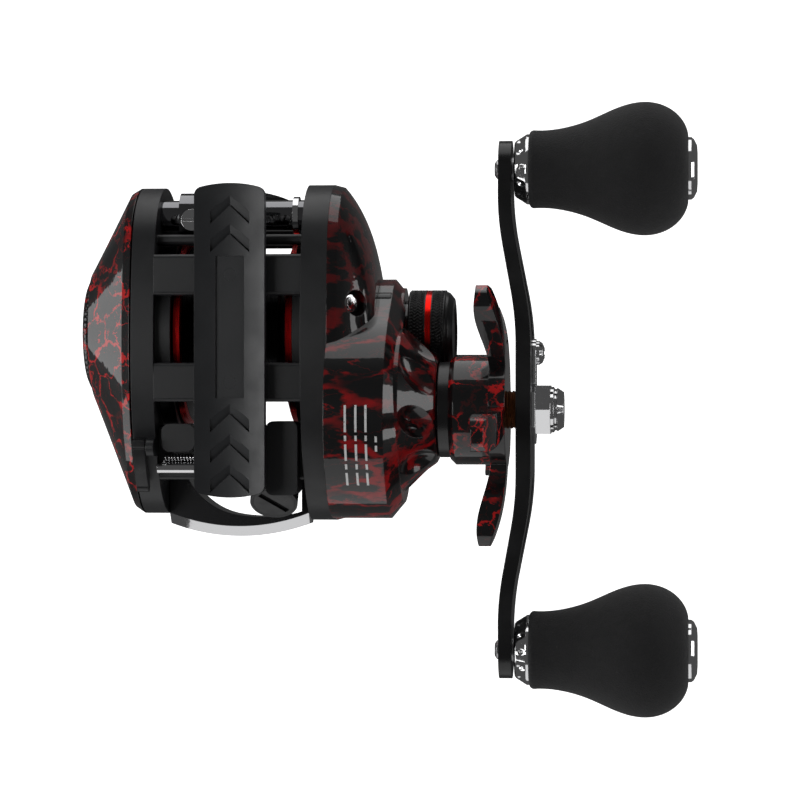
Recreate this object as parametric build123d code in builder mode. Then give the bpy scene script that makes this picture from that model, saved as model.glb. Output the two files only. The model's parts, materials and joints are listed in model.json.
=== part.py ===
"""A low-profile baitcasting reel as an assembly of separate pieces.

Frame: origin on the underside of the reel foot, +Z away from the rod, -Y towards the line guide,
+X towards the handle. Every turning piece inside runs parallel to X.
"""

from build123d import *
from math import acos, atan2, cos, degrees, pi, radians, sin, sqrt, tan
import os

os.makedirs("parts", exist_ok=True)

# Driving dimensions, in millimetres.
foot_length, foot_width, foot_top = 59.8, 13.5, 2.2
spool_y, spool_z = -1.7, 23.5
spool_r, collar_r = 17.7, 19.6
running_gap = 0.06

# Gear train: 64 teeth drive 9 teeth, and a smaller train drives the level wind.
drive_module, drive_teeth, pinion_teeth = 0.5, 64, 9
wind_module, wind_drive_teeth, idler_teeth, worm_teeth = 0.6, 20, 24, 12
pressure_angle = radians(25)
addendum, dedendum, backlash = 0.8, 1.0, 0.07

# The handle shaft lies one gear centre distance from the spool shaft.
handle_y = 13.2
gear_distance = drive_module * (drive_teeth + pinion_teeth) / 2
handle_z = spool_z - sqrt(gear_distance**2 - (handle_y - spool_y) ** 2)
worm_y, worm_z = -24.4, 14.0

# Side plates: X of their faces.
left_out, left_in = -19.5, -15.1
right_in, web_out, right_out = 13.3, 15.3, 18.3

# Stations along X in the gear box.
wind_x0, wind_x1 = 16.0, 18.0
cam_x0, cam_x1 = 18.4, 19.2
yoke_x0, yoke_x1 = 19.9, 20.9
gear_x0, gear_x1 = 22.4, 26.4
boss_end_x = 38.8
cap_x0, cap_x1, cap_r = 32.4, 41.1, 8.46
star_x0, star_x1, star_hub_r, star_tip_r = 41.2, 48.9, 10.6, 26.3
arm_x0, arm_x1, arm_end_x0, arm_end_x1 = 54.0, 56.9, 50.5, 53.0
knob_reach = 46.2

# Motions that the clutch pieces are shaped for.
thumb_travel, yoke_travel = 5.0, 1.2
link_y, link_z = 22.0, 27.0
link_r = sqrt((link_y - spool_y) ** 2 + (link_z - spool_z) ** 2)
link_angle = degrees(atan2(link_z - spool_z, link_y - spool_y))
cam_sweep = link_angle - degrees(atan2(link_z - thumb_travel - spool_z, link_y - spool_y))


def facing_x(x, centre):
    """A sketch plane facing +X on the line through centre, with its own x along the world's Y."""
    return Plane(origin=(x, *centre), x_dir=(0, 1, 0), z_dir=(1, 0, 0))


def axle(y, z):
    """The line parallel to X through (y, z)."""
    return Axis((0, y, z), (1, 0, 0))


def turn(outline, y, z, mode=Mode.ADD):
    """Revolve (x, radius) points about the line parallel to X through (y, z)."""
    with BuildSketch(Plane(origin=(0, y, z), x_dir=(1, 0, 0), z_dir=(0, -1, 0))) as section:
        with BuildLine():
            Polyline(*outline, close=True)
        make_face()
    revolve(section.sketch, axis=axle(y, z), mode=mode)


def ring(x0, x1, inner, outer, y, z, mode=Mode.ADD):
    """A round bar, or a tube where inner is above 0, from x0 to x1."""
    turn([(x0, inner), (x0, outer), (x1, outer), (x1, inner)], y, z, mode)


def plate_outline(x, front, rear, bottom, top, low):
    """The egg-shaped side outline of the reel in the plane X = x; low places its lowest point."""
    shape = [(0.0, 0.40), (0.025, 0.24), (0.10, 0.10), (0.24, 0.03), (low, 0.0)]
    shape += [(0.80, 0.09), (0.94, 0.25), (1.0, 0.47), (0.94, 0.73), (0.75, 0.93)]
    shape += [(0.47, 1.0), (0.20, 0.90), (0.05, 0.66)]
    points = [(front + u * (rear - front), bottom + v * (top - bottom)) for u, v in shape]
    with BuildSketch(Plane.YZ.offset(x)) as outline:
        with BuildLine():
            Spline(*points, periodic=True)
        make_face()
    return outline.sketch


def left_outline(x, inset=0.0):
    return plate_outline(x, -30.1 + inset, 33.6 - inset, 2 + inset, 44.6 - inset, 0.45)


def right_outline(x, inset=0.0):
    return plate_outline(x, -30.5 + inset, 34.8 - inset, inset, 44.8 - inset, 0.55)


def gear_outline(x, y, z, teeth, module, phase):
    """A spur gear with involute flanks; phase is the angle of one tooth's middle, in degrees."""
    pitch_r = module * teeth / 2
    base_r = pitch_r * cos(pressure_angle)
    root_r = pitch_r - dedendum * module
    tip_r = pitch_r + addendum * module
    half_tooth = (pi * module / 2 - backlash) / (2 * pitch_r)
    spread = tan(pressure_angle) - pressure_angle
    start_r = max(base_r, root_r)
    flank = []
    for step in range(4):
        radius = start_r + (tip_r - start_r) * step / 3
        roll = acos(min(1.0, base_r / radius))
        flank.append((radius, half_tooth + spread - (tan(roll) - roll)))
    if root_r < start_r:
        flank.insert(0, (root_r, flank[0][1]))
    points = []
    for tooth in range(teeth):
        middle = radians(phase + 360 * tooth / teeth)
        sides = [(r, middle - a) for r, a in flank] + [(r, middle + a) for r, a in reversed(flank)]
        points += [(r * cos(a), r * sin(a)) for r, a in sides]
    with BuildSketch(facing_x(x, (y, z))) as outline:
        with BuildLine():
            Polyline(*points, close=True)
        make_face()
    return outline.sketch


def meshing_phase(phase, teeth, mate_teeth, line):
    """The phase at which a mate lying in direction line (degrees) meshes with a gear."""
    return line + 180 - ((phase - line) * teeth + 180) / mate_teeth


def direction(a, b):
    return degrees(atan2(b[1] - a[1], b[0] - a[0]))


def finish(piece, name):
    """Label a finished piece and write its STEP file."""
    piece.part.label = name
    export_step(piece.part, f"parts/{name}.step")


# Centres of the level-wind train, as (y, z).
handle_c = (handle_y, handle_z)
spool_c = (spool_y, spool_z)
worm_c = (worm_y, worm_z)
near_reach = wind_module * (wind_drive_teeth + idler_teeth) / 2
idler_reach = wind_module * idler_teeth
far_reach = wind_module * (idler_teeth + worm_teeth) / 2
near_angle = radians(191.6)
idler_a = (handle_y + near_reach * cos(near_angle), handle_z + near_reach * sin(near_angle))
span = sqrt((worm_y - idler_a[0]) ** 2 + (worm_z - idler_a[1]) ** 2)
along = (idler_reach**2 - far_reach**2 + span**2) / (2 * span)
drop = sqrt(idler_reach**2 - along**2)
step_y, step_z = (worm_y - idler_a[0]) / span, (worm_z - idler_a[1]) / span
idler_b = (idler_a[0] + along * step_y - drop * step_z, idler_a[1] + along * step_z + drop * step_y)
if idler_b[1] > idler_a[1] + along * step_z:
    idler_b = (idler_a[0] + along * step_y + drop * step_z, idler_a[1] + along * step_z - drop * step_y)

# ---------------------------------------------------------------- foot

arm_run = 3.75
chevron_band, chevron_depth, chevron_slope = 1.7, 0.45, 43
arm_way = (cos(radians(chevron_slope)), sin(radians(chevron_slope)), 0)
crown_z, edge_z = -0.35, -1.15
front_chevrons, rear_chevrons = (-25.6, -20.2), (14.0, 19.8, 25.5)

with BuildPart() as chevron_cutter:
    with BuildSketch(Plane(origin=(0, 0, 0), x_dir=(-arm_way[1], arm_way[0], 0), z_dir=arm_way)):
        with BuildLine():
            Polyline((-chevron_band, -2), (-chevron_band, -0.1), (0, chevron_depth), (0, -2), close=True)
        make_face()
    extrude(amount=arm_run / arm_way[0], both=True)
    with BuildSketch(Plane.XY):
        with Locations((arm_run / 2, 0)):
            Rectangle(arm_run, 20)
    extrude(amount=5, both=True, mode=Mode.INTERSECT)
    mirror(about=Plane.YZ)

with BuildPart() as reel_foot:
    with BuildSketch(Plane.YZ):
        with BuildLine():
            half = foot_length / 2
            Polyline((-half, -2), (-half, 0.7), (-19, foot_top), (19, foot_top), (half, 0.7), (half, -2),
                     close=True)
        make_face()
    extrude(amount=foot_width / 2, both=True)
    with BuildSketch(Plane.XY.offset(-3)) as plan:
        with BuildLine():
            side, shoulder = foot_width / 2, half - 1.1
            ThreePointArc((-side, -shoulder), (0, -half), (side, -shoulder))
            Line((side, -shoulder), (side, shoulder))
            ThreePointArc((side, shoulder), (0, half), (-side, shoulder))
            Line((-side, shoulder), (-side, -shoulder))
        make_face()
        fillet(plan.vertices(), 1.7)
    extrude(amount=8, mode=Mode.INTERSECT)
    with BuildSketch(Plane.XZ.offset(-40)):
        with BuildLine():
            Polyline((-side, -3), (-side, 1.3), (1 - side, foot_top), (side - 1, foot_top), (side, 1.3),
                     (side, -3), close=True)
        make_face()
    extrude(amount=80, mode=Mode.INTERSECT)
    with BuildSketch(Plane.XZ.offset(-40)):
        with BuildLine():
            ThreePointArc((-7.5, edge_z - 0.25), (0, crown_z), (7.5, edge_z - 0.25))
            Polyline((7.5, edge_z - 0.25), (7.5, -4), (-7.5, -4), (-7.5, edge_z - 0.25))
        make_face()
    extrude(amount=80, mode=Mode.SUBTRACT)
    with BuildSketch(Plane.XY.offset(-3)):
        with Locations((0, -2.5)):
            Rectangle(5.5, 27)
    extrude(amount=3, mode=Mode.SUBTRACT)
    for apex_y in front_chevrons + rear_chevrons:
        with Locations((0, apex_y, crown_z)):
            add(chevron_cutter.part, mode=Mode.SUBTRACT)
    for rivet_y in (-12.5, 8.0):
        with Locations((0, rivet_y, 0)):
            Cylinder(1.2, 10, mode=Mode.SUBTRACT)
finish(reel_foot, "reel_foot")

with BuildPart() as foot_rivets:
    for rivet_y in (-12.5, 8.0):
        with Locations((0, rivet_y, 0)):
            Cylinder(1.2, 5.0, align=(Align.CENTER, Align.CENTER, Align.MIN))
finish(foot_rivets, "foot_rivets")

# ---------------------------------------------------------------- frame

lever_y, lever_z = 20.4, 3.6
plug_tilt = radians(50)
plug_way = (0, sin(plug_tilt), -cos(plug_tilt))
plug_centre = (7.1, 31.2, 10.0)

with BuildPart() as frame:
    extrude(left_outline(left_out), amount=left_in - left_out)
    extrude(right_outline(right_in), amount=right_out - right_in)
    ring(left_in, -12.2, 0, collar_r, spool_y, spool_z)
    ring(11.3, right_in, 0, collar_r, spool_y, spool_z)
    extrude(right_outline(web_out, 1.3), amount=right_out - web_out, mode=Mode.SUBTRACT)
    ring(web_out, right_out, 0, 4.6, worm_y, worm_z, Mode.SUBTRACT)
    # Crossbars under the spool, the front member and the rear bridge.
    for bar_y0, bar_y1, bar_z0, bar_z1 in (
        (-16.5, -8.65, foot_top, 9.5),
        (4.2, 11.7, foot_top, 9.5),
        (-20.5, -18.5, 7.0, 12.0),
        (16.2, 26.7, 9.0, 15.0),
    ):
        with BuildSketch(Plane.YZ.offset(left_in)):
            with Locations(((bar_y0 + bar_y1) / 2, (bar_z0 + bar_z1) / 2)):
                RectangleRounded(bar_y1 - bar_y0, bar_z1 - bar_z0, 0.8)
        extrude(amount=right_in - left_in)
    with BuildSketch(Plane.XY.offset(5)):
        with Locations((9.2, 22.5)):
            RectangleRounded(6.2, 14.2, 1.5)
        with Locations((-10.8, 18.6)):
            RectangleRounded(6.4, 5.4, 1.5)
    extrude(amount=8)
    ring(left_out - 1, right_in, 0, 18.3, spool_y, spool_z, Mode.SUBTRACT)
    # Seats in the right web: pinion bearing, drive shaft bearing and the slot for the clutch link.
    ring(right_in, web_out, 0, 4.2, spool_y, spool_z, Mode.SUBTRACT)
    ring(right_in, web_out, 0, 4.5, handle_y, handle_z, Mode.SUBTRACT)
    with BuildSketch(Plane.YZ.offset(right_in)):
        with Locations((link_y, link_z - thumb_travel / 2)):
            SlotOverall(thumb_travel + 3.0, 2.4, rotation=90)
    extrude(amount=web_out - right_in, mode=Mode.SUBTRACT)
    # Pins for the idler gears.
    for centre in (idler_a, idler_b):
        ring(web_out - 1, wind_x1 + 0.2, 0, 1.2, *centre)
    # Seats for the worm bushings.
    ring(left_in - 2, left_in, 0, 2.2, worm_y, worm_z, Mode.SUBTRACT)
    ring(right_in, web_out, 0, 2.2, worm_y, worm_z, Mode.SUBTRACT)
    # Ear and pin that carry the release lever.
    ring(-16.6, left_in, 0, 1.7, lever_y, lever_z)
    with BuildSketch(Plane.YZ.offset(-16.6)):
        with Locations((lever_y, lever_z + 3)):
            Rectangle(3.4, 6)
    extrude(amount=left_in + 16.6)
    ring(-19.3, -16.6, 0, 0.6, lever_y, lever_z)
    # Boss for the rear plug.
    with BuildSketch(Plane(origin=plug_centre, x_dir=(1, 0, 0), z_dir=plug_way)):
        Circle(4.6)
    extrude(amount=-6.5)
    with BuildSketch(Plane(origin=plug_centre, x_dir=(1, 0, 0), z_dir=plug_way)):
        Circle(4.0)
    extrude(amount=-1.5, mode=Mode.SUBTRACT)
    # Rivet holes, blind from below.
    for rivet_y in (-12.5, 8.0):
        with Locations((0, rivet_y, 3.6)):
            Cylinder(1.2, 2.8, mode=Mode.SUBTRACT)
finish(frame, "frame")

with BuildPart() as oil_port_plug:
    with BuildSketch(Plane(origin=plug_centre, x_dir=(1, 0, 0), z_dir=plug_way)):
        Circle(4.0)
    extrude(amount=-1.5)
    with BuildSketch(Plane(origin=plug_centre, x_dir=(1, 0, 0), z_dir=plug_way)):
        Rectangle(7.0, 1.1, rotation=-45)
    extrude(amount=-0.7, mode=Mode.SUBTRACT)
finish(oil_port_plug, "oil_port_plug")

with BuildPart() as front_hood:
    with BuildSketch(Plane.YZ.offset(left_in)):
        with BuildLine():
            Spline((-30.2, 26.5), (-27.4, 33.4), (-19.5, 38.0))
            Line((-19.5, 38.0), (-19.0, 36.4))
            Spline((-19.0, 36.4), (-26.2, 32.2), (-28.6, 26.5))
            Line((-28.6, 26.5), (-30.2, 26.5))
        make_face()
    extrude(amount=right_in - left_in)
    middle_x = (left_in + right_in) / 2
    with BuildSketch(Plane.XY.offset(20)):
        with BuildLine():
            ThreePointArc((left_in, -25.0), (middle_x, -30.0), (right_in, -25.0))
            Polyline((right_in, -25.0), (right_in, -15), (left_in, -15), (left_in, -25.0))
        make_face()
    extrude(amount=20, mode=Mode.INTERSECT)
finish(front_hood, "front_hood")

# ---------------------------------------------------------------- level wind

tube_r, tube_bore = 3.0, 2.7
guide_bar_y, guide_bar_z = -24.4, 18.7
carriage_x0, carriage_x1 = -11.4, -6.0
guide_x = (carriage_x0 + carriage_x1) / 2
eye_y, eye_z = -24.4, 24.8
eye_hole, eye_seat, eye_rim = (4.0, 3.0), (4.8, 3.8), (5.8, 4.8)

with BuildPart() as worm_tube:
    ring(left_in, right_in, tube_bore, tube_r, worm_y, worm_z)
    with BuildSketch(Plane.XY.offset(worm_z - 5)):
        with Locations(((carriage_x0 + 10) / 2 - 0.7, worm_y + 1.0)):
            SlotOverall(23.5, 1.9)
    extrude(amount=5, mode=Mode.SUBTRACT)
finish(worm_tube, "worm_tube")

with BuildPart() as worm_bushings:
    ring(left_in - 2, left_in, 1.0 + running_gap, 2.2, worm_y, worm_z)
    ring(right_in, web_out, 1.0 + running_gap, 2.2, worm_y, worm_z)
finish(worm_bushings, "worm_bushings")

with BuildPart() as worm_shaft:
    worm_profile = [(-16.8, 0), (-16.8, 1.0), (-14.9, 1.0), (-14.9, 2.3), (13.1, 2.3), (13.1, 1.0)]
    turn(worm_profile + [(wind_x1 + 0.3, 1.0), (wind_x1 + 0.3, 0)], worm_y, worm_z)
finish(worm_shaft, "worm_shaft")

with BuildPart() as guide_bar:
    ring(left_in, right_in, 0, 0.9, guide_bar_y, guide_bar_z)
finish(guide_bar, "guide_bar")

with BuildPart() as worm_clip:
    ring(10.6, 11.7, tube_r, tube_r + 0.65, worm_y, worm_z)
    with BuildSketch(Plane.YZ.offset(10.6)):
        with Locations((worm_y + 3.4, worm_z + 2.6)):
            Rectangle(5, 2.4, rotation=40)
    extrude(amount=1.1, mode=Mode.SUBTRACT)
finish(worm_clip, "worm_clip")

with BuildPart() as line_guide:
    ring(carriage_x0, carriage_x1, 0, 4.4, worm_y, worm_z)
    with BuildSketch(Plane.YZ.offset(carriage_x0)):
        with Locations((guide_bar_y, (worm_z + eye_z) / 2 + 1)):
            Rectangle(5.2, eye_z - worm_z)
    extrude(amount=carriage_x1 - carriage_x0)
    with BuildSketch(Plane.XZ.offset(-(eye_y + 2.2))):
        with Locations((guide_x, eye_z)):
            Ellipse(*eye_rim)
    extrude(amount=4.4)
    ring(carriage_x0, carriage_x1, 0, tube_r + 0.08, worm_y, worm_z, Mode.SUBTRACT)
    ring(carriage_x0, carriage_x1, 0, 0.9 + 0.08, guide_bar_y, guide_bar_z, Mode.SUBTRACT)
    with BuildSketch(Plane.XZ.offset(-(eye_y + 9))):
        with Locations((guide_x, eye_z)):
            Ellipse(*eye_seat)
    extrude(amount=18, mode=Mode.SUBTRACT)
    with Locations((guide_x, worm_y + 1.0, worm_z - 3.4)):
        Cylinder(0.8, 3, mode=Mode.SUBTRACT)
    with Locations((guide_x, worm_y + 1.0, worm_z - 4.4)):
        Cylinder(2.1, 1.6, mode=Mode.SUBTRACT)
finish(line_guide, "line_guide")

with BuildPart() as line_guide_insert:
    with BuildSketch(Plane.XZ.offset(-(eye_y + 1.6))):
        with Locations((guide_x, eye_z)):
            Ellipse(*eye_seat)
            Ellipse(*eye_hole, mode=Mode.SUBTRACT)
    extrude(amount=3.2)
finish(line_guide_insert, "line_guide_insert")

with BuildPart() as pawl:
    with Locations((guide_x, worm_y + 1.0, worm_z - 2.9)):
        Cylinder(0.75, 1.3)
finish(pawl, "pawl")

with BuildPart() as pawl_cap:
    with Locations((guide_x, worm_y + 1.0, worm_z - 4.5)):
        Cylinder(2.1, 1.4)
    with Locations((guide_x, worm_y + 1.0, worm_z - 5.2)):
        Box(3.4, 0.6, 0.7, mode=Mode.SUBTRACT)
finish(pawl_cap, "pawl_cap")

# ---------------------------------------------------------------- gears

drive_phase = 0.0
pinion_phase = meshing_phase(drive_phase, drive_teeth, pinion_teeth, direction(handle_c, spool_c))
wind_phase = 0.0
idler_a_phase = meshing_phase(wind_phase, wind_drive_teeth, idler_teeth, direction(handle_c, idler_a))
idler_b_phase = meshing_phase(idler_a_phase, idler_teeth, idler_teeth, direction(idler_a, idler_b))
worm_phase = meshing_phase(idler_b_phase, idler_teeth, worm_teeth, direction(idler_b, worm_c))

shaft_r, journal_r = 3.4, 2.5
wind_seat_r = 3.0

with BuildPart() as level_wind_drive_gear:
    extrude(gear_outline(wind_x0, *handle_c, wind_drive_teeth, wind_module, wind_phase), amount=2)
    ring(wind_x0, wind_x1, 0, wind_seat_r, *handle_c, Mode.SUBTRACT)
finish(level_wind_drive_gear, "level_wind_drive_gear")

for name, centre, phase in (
    ("idler_gear_rear", idler_a, idler_a_phase),
    ("idler_gear_front", idler_b, idler_b_phase),
):
    with BuildPart() as idler_gear:
        extrude(gear_outline(wind_x0, *centre, idler_teeth, wind_module, phase), amount=2)
        ring(wind_x0, wind_x1, 0, 1.2 + running_gap, *centre, Mode.SUBTRACT)
        for window in range(5):
            window_angle = radians(phase + 72 * window)
            window_y = centre[0] + 4.2 * cos(window_angle)
            window_z = centre[1] + 4.2 * sin(window_angle)
            ring(wind_x0, wind_x1, 0, 1.3, window_y, window_z, Mode.SUBTRACT)
    finish(idler_gear, name)

with BuildPart() as worm_gear:
    extrude(gear_outline(wind_x0, *worm_c, worm_teeth, wind_module, worm_phase), amount=2)
    ring(wind_x0, wind_x1, 0, 1.0, *worm_c, Mode.SUBTRACT)
finish(worm_gear, "worm_gear")

dish_x, dish_r = 24.0, 12.5
with BuildPart() as drive_gear:
    drive_outline = gear_outline(gear_x0, *handle_c, drive_teeth, drive_module, drive_phase)
    extrude(drive_outline, amount=gear_x1 - gear_x0)
    ring(dish_x, gear_x1, 0, dish_r, *handle_c, Mode.SUBTRACT)
    ring(gear_x0, dish_x, 0, shaft_r, *handle_c, Mode.SUBTRACT)
finish(drive_gear, "drive_gear")

with BuildPart() as drag_washers:
    for washer_x in (dish_x, dish_x + 1.5):
        ring(washer_x, washer_x + 0.7, shaft_r, dish_r - 0.2, *handle_c)
finish(drag_washers, "drag_washers")

with BuildPart() as drag_plates:
    for plate_x in (dish_x + 0.7, dish_x + 2.2):
        ring(plate_x, plate_x + 0.8, shaft_r, dish_r - 0.4, *handle_c)
finish(drag_plates, "drag_plates")

with BuildPart() as drive_shaft:
    shaft_profile = [(13.5, 0), (13.5, journal_r), (15.8, journal_r), (15.8, wind_seat_r)]
    shaft_profile += [(20.2, wind_seat_r), (20.2, 8.0), (gear_x0, 8.0), (gear_x0, shaft_r)]
    shaft_profile += [(52.4, shaft_r), (62.0, 2.9), (62.0, 0)]
    turn(shaft_profile, *handle_c)
    # Two flats that key the handle.
    with BuildSketch(Plane.YZ.offset(53.6)):
        with Locations((handle_y, handle_z + 4.4), (handle_y, handle_z - 4.4)):
            Rectangle(10, 4)
    extrude(amount=10, mode=Mode.SUBTRACT)
finish(drive_shaft, "drive_shaft")

with BuildPart() as clutch_ratchet:
    with BuildSketch(facing_x(cam_x0, handle_c)):
        Circle(6.2)
        with PolarLocations(6.2, 8):
            Polygon((-1.5, -2.2), (1.3, 1.4), (-1.5, 1.4), align=None)
        Circle(wind_seat_r, mode=Mode.SUBTRACT)
    extrude(amount=1.0)
finish(clutch_ratchet, "clutch_ratchet")

with BuildPart() as drive_shaft_bearing:
    ring(right_in, web_out, journal_r + running_gap, 4.5, *handle_c)
finish(drive_shaft_bearing, "drive_shaft_bearing")

# ---------------------------------------------------------------- spool and pinion

spool_bore = 1.5
pinion_shaft_r = 1.25
pin_x, pin_r, pin_reach = 12.7, 0.5, 2.6
pinion_x0, pinion_x1, pinion_journal_r = 12.2, 31.0, 2.2

with BuildPart() as spool:
    spool_profile = [(-11.9, 16.4), (-11.9, spool_r), (-10.7, spool_r), (-10.3, 16.9), (-8.6, 10.9)]
    spool_profile += [(-8.0, 10.4), (7.2, 10.4), (7.8, 10.9), (9.5, 16.9), (9.8, spool_r), (11.0, spool_r)]
    spool_profile += [(11.0, 16.4), (10.2, 15.8), (8.6, 9.4), (8.4, 4.0), (11.4, 4.0), (11.4, spool_bore)]
    spool_profile += [(-5.5, spool_bore), (-5.5, 3.2), (-3.6, 3.4), (-3.0, 9.3), (-9.6, 9.8), (-11.0, 15.8)]
    turn(spool_profile, *spool_c)
finish(spool, "spool")

with BuildPart() as spool_shaft:
    spool_shaft_profile = [(-27.5, 0), (-27.5, 1.2), (-27.2, spool_bore), (11.4, spool_bore)]
    spool_shaft_profile += [(11.4, pinion_shaft_r), (37.9, pinion_shaft_r), (38.3, 0.8), (38.3, 0)]
    turn(spool_shaft_profile, *spool_c)
    with Locations((pin_x, spool_y, spool_z)):
        Cylinder(pin_r, 8, mode=Mode.SUBTRACT)
finish(spool_shaft, "spool_shaft")

with BuildPart() as spool_pin:
    with Locations((pin_x, spool_y, spool_z)):
        Cylinder(pin_r, 2 * pin_reach)
finish(spool_pin, "spool_pin")

with BuildPart() as brake_drum:
    turn([(-20, 7.0), (-20, 7.5), (-7, 7.5), (-7, spool_bore), (-7.8, spool_bore), (-7.8, 7.0)], *spool_c)
finish(brake_drum, "brake_drum")

with BuildPart() as pinion_gear:
    extrude(gear_outline(21.0, *spool_c, pinion_teeth, drive_module, pinion_phase), amount=6.6)
    ring(pinion_x0, 19.8, 0, pinion_journal_r, *spool_c)
    ring(19.3, 19.8, 0, 2.9, *spool_c)
    ring(19.8, 21.0, 0, 1.9, *spool_c)
    ring(27.6, pinion_x1, 0, pinion_journal_r, *spool_c)
    ring(pinion_x0, pinion_x1, 0, pinion_shaft_r + running_gap, *spool_c, Mode.SUBTRACT)
    with BuildSketch(Plane.YZ.offset(pinion_x0)):
        with Locations((spool_y, spool_z)):
            Rectangle(1.16, 8)
    extrude(amount=1.1, mode=Mode.SUBTRACT)
finish(pinion_gear, "pinion_gear")

with BuildPart() as pinion_bearings:
    ring(13.5, web_out, pinion_journal_r + running_gap, 4.2, *spool_c)
    ring(29.0, 30.8, pinion_journal_r + running_gap, 4.2, *spool_c)
finish(pinion_bearings, "pinion_bearings")

# ---------------------------------------------------------------- clutch

post_reach = 10.0
line_y, line_z = (handle_y - spool_y) / gear_distance, (handle_z - spool_z) / gear_distance
cross_angle = degrees(atan2(line_y, -line_z))
posts = [
    (spool_y - side * post_reach * line_z, spool_z + side * post_reach * line_y) for side in (1, -1)
]
ramp_r, ramp_gap, ramp_width = 7.2, 2.2, 1.9
ramp_run = 2 * ramp_r * sin(radians(cam_sweep) / 2)

with BuildPart() as clutch_cam:
    with BuildSketch(Plane.YZ.offset(cam_x0)):
        with Locations((spool_y, spool_z)):
            Circle(8.4)
            Circle(3.5, mode=Mode.SUBTRACT)
        with Locations((spool_y, spool_z)):
            with Locations(Rotation(0, 0, link_angle)):
                with Locations((15.6, 0)):
                    Rectangle(20.0, 3.6)
    extrude(amount=cam_x1 - cam_x0)
    with BuildSketch(Plane.YZ.offset(cam_x0)):
        with Locations((spool_y, spool_z)):
            Circle(3.5)
            with Locations(Rotation(0, 0, link_angle)):
                with Locations((link_r, 0)):
                    SlotOverall(2.9, 1.8)
    extrude(amount=cam_x1 - cam_x0, mode=Mode.SUBTRACT)
    # A ramp ahead of each yoke arm, rising as the cam turns.
    for side in (0, 180):
        base = Plane(
            origin=(cam_x1, *spool_c),
            x_dir=(0, cos(radians(cross_angle + side)), sin(radians(cross_angle + side))),
            z_dir=(1, 0, 0),
        )
        ramp_start = base.from_local_coords((ramp_r - 1.0, 0, 0))
        ramp_plane = Plane(origin=ramp_start, x_dir=base.y_dir, z_dir=base.x_dir)
        with BuildSketch(ramp_plane):
            with BuildLine():
                Polyline(
                    (ramp_gap, 0), (ramp_gap + ramp_run, -yoke_travel), (ramp_gap + ramp_run, 0), close=True
                )
            make_face()
        extrude(amount=ramp_width)
finish(clutch_cam, "clutch_cam")

with BuildPart() as clutch_yoke:
    with BuildSketch(facing_x(yoke_x0, spool_c)):
        Rectangle(2 * post_reach + 3.6, 4.0, rotation=cross_angle)
        Circle(3.6)
        with PolarLocations(post_reach, 2, start_angle=cross_angle):
            Circle(2.2)
        with PolarLocations(post_reach, 2, start_angle=cross_angle):
            Circle(0.9 + running_gap, mode=Mode.SUBTRACT)
        Circle(1.9 + 0.1, mode=Mode.SUBTRACT)
        # The mouth through which the yoke drops over the pinion's groove.
        with Locations(Rotation(0, 0, cross_angle + 90)):
            with Locations((4, 0)):
                Rectangle(8, 3.9, mode=Mode.SUBTRACT)
    extrude(amount=yoke_x1 - yoke_x0)
finish(clutch_yoke, "clutch_yoke")

spring_x1 = 24.6
with BuildPart() as yoke_springs:
    for post_y, post_z in posts:
        start = (yoke_x1 + 0.25, post_y, post_z)
        with BuildLine():
            coil = Helix(0.85, spring_x1 - yoke_x1 - 0.5, 1.35, center=start, direction=(1, 0, 0))
        with BuildSketch(Plane(origin=coil @ 0, z_dir=coil % 0)):
            Circle(0.2)
        sweep(path=coil)
finish(yoke_springs, "yoke_springs")

# ---------------------------------------------------------------- thumb bar

bar_x0, bar_x1, bar_z0, bar_z1 = -14.9, 12.6, 21.0, 29.0
bar_end_y, bar_crest_y = 35.6, 38.1
with BuildPart() as thumb_bar:
    with BuildSketch(Plane.XY.offset(bar_z0)):
        with BuildLine():
            ThreePointArc((bar_x0, bar_end_y), ((bar_x0 + bar_x1) / 2, bar_crest_y), (bar_x1, bar_end_y))
            Line((bar_x1, bar_end_y), (bar_x1, 32.6))
            Spline((bar_x1, 32.6), (8.4, 33.9), (1.5, 34.2), (-4.0, 33.2), (-8.6, 30.3), (-11.2, 26.8))
            Polyline((-11.2, 26.8), (bar_x0, 26.8), (bar_x0, bar_end_y))
        make_face()
        with Locations((bar_x1 - 0.7, 27.5)):
            Rectangle(1.4, 13.6)
    extrude(amount=bar_z1 - bar_z0)
    crest = thumb_bar.edges().filter_by(lambda e: e.center().Y > 36).group_by(Axis.Z)
    chamfer(crest[0], 2.0)
    fillet(crest[-1], 0.9)
    ring(bar_x1 - 0.4, cam_x1 + 0.2, 0, 0.8, link_y, link_z)
finish(thumb_bar, "thumb_bar")

# ---------------------------------------------------------------- palm side

lever_x0, lever_x1 = -19.2, -16.9
with BuildPart() as release_lever:
    with BuildSketch(Plane.YZ.offset(lever_x0)):
        with BuildLine():
            Spline((19.2, 2.6), (23.4, 4.0), (28.0, 7.0))
            ThreePointArc((28.0, 7.0), (28.9, 8.8), (27.2, 9.2))
            Spline((27.2, 9.2), (23.2, 6.0), (20.4, 4.9))
            ThreePointArc((20.4, 4.9), (18.9, 4.1), (19.2, 2.6))
        make_face()
    extrude(amount=lever_x1 - lever_x0)
    ring(lever_x0, lever_x1, 0, 0.6 + running_gap, lever_y, lever_z, Mode.SUBTRACT)
finish(release_lever, "release_lever")

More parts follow.
